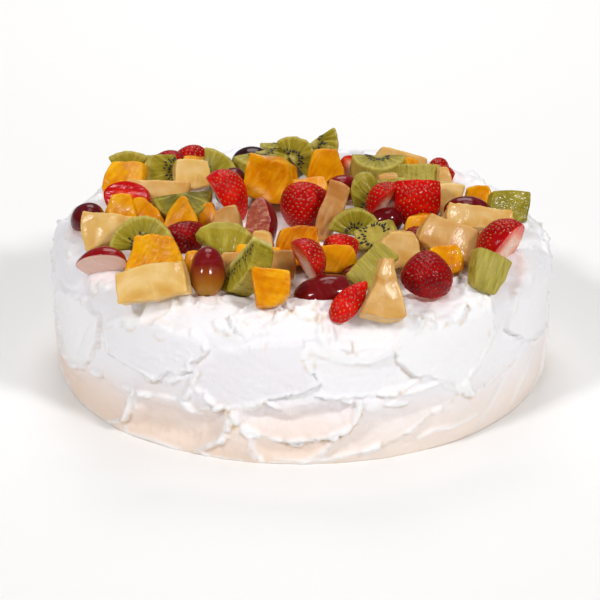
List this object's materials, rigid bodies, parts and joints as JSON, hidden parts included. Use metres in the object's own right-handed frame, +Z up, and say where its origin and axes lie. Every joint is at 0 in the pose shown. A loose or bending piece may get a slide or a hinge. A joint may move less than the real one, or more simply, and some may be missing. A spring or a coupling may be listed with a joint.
{
  "type": "fruit-topped cake",
  "caption": "Round uncut cake covered in spatula-spread white cream, heaped with cut kiwi, peach, pineapple, strawberry and grape.",
  "frame": {"origin": "centre of the flat base of the cream", "axes": "+Z up, the side in the picture faces -Y, +X to its right"},
  "size_m": [0.24, 0.24, 0.0972],
  "materials": {
    "cream": "soft satin cream",
    "peach": "wet fruit flesh",
    "pineapple": "wet fibrous flesh",
    "kiwi": "wet fruit flesh",
    "strawberry": "glossy seeded skin",
    "grape": "glossy skin"
  },
  "bodies": {
    "root": {"cake": "cream", "grape_01": "grape", "grape_03": "grape", "grape_04": "grape", "grape_05": "grape", "grape_06": "grape", "grape_07": "grape", "grape_08": "grape", "grape_09": "grape", "grape_10": "grape", "grape_11": "grape", "kiwi_01": "kiwi", "kiwi_03": "kiwi", "kiwi_04": "kiwi", "kiwi_05": "kiwi", "kiwi_06": "kiwi", "kiwi_07": "kiwi", "kiwi_08": "kiwi", "kiwi_09": "kiwi", "kiwi_11": "kiwi", "kiwi_12": "kiwi", "kiwi_13": "kiwi", "kiwi_14": "kiwi", "kiwi_16": "kiwi", "kiwi_17": "kiwi", "peach_01": "peach", "peach_02": "peach", "peach_04": "peach", "peach_05": "peach", "peach_06": "peach", "peach_07": "peach", "peach_08": "peach", "peach_09": "peach", "peach_10": "peach", "peach_12": "peach", "peach_13": "peach", "pineapple_01": "pineapple", "pineapple_02": "pineapple", "pineapple_03": "pineapple", "pineapple_04": "pineapple", "pineapple_06": "pineapple", "pineapple_07": "pineapple", "pineapple_08": "pineapple", "pineapple_10": "pineapple", "pineapple_11": "pineapple", "pineapple_13": "pineapple", "strawberry_01": "strawberry", "strawberry_02": "strawberry", "strawberry_03": "strawberry", "strawberry_04": "strawberry", "strawberry_05": "strawberry", "strawberry_06": "strawberry", "strawberry_07": "strawberry", "strawberry_08": "strawberry", "strawberry_10": "strawberry", "strawberry_11": "strawberry", "strawberry_12": "strawberry", "strawberry_13": "strawberry", "strawberry_14": "strawberry", "strawberry_15": "strawberry"}
  },
  "joints": []
}
